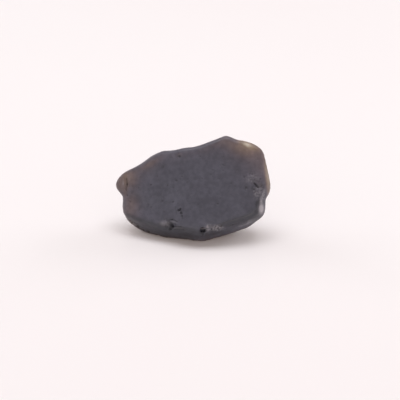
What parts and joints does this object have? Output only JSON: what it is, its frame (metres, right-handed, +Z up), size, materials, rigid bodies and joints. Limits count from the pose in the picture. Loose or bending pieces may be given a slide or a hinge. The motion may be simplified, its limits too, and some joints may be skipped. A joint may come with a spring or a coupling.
{
  "type": "tektite",
  "caption": "Natural glass stone: a dark wedge with one broad smooth face, thin smoky edges and a pitted back, resting on a small flat with the face leaning back.",
  "frame": {"origin": "on the surface the stone rests on, under the middle of its bounding box", "axes": "+X along the stone's long dimension, to the right of someone who looks at the broad face; -Y is the side the broad face looks to; +Z up"},
  "size_m": [0.0288, 0.012, 0.0184],
  "materials": {
    "tektite_glass": "satin"
  },
  "bodies": {
    "root": {"tektite": "tektite_glass"}
  },
  "joints": []
}
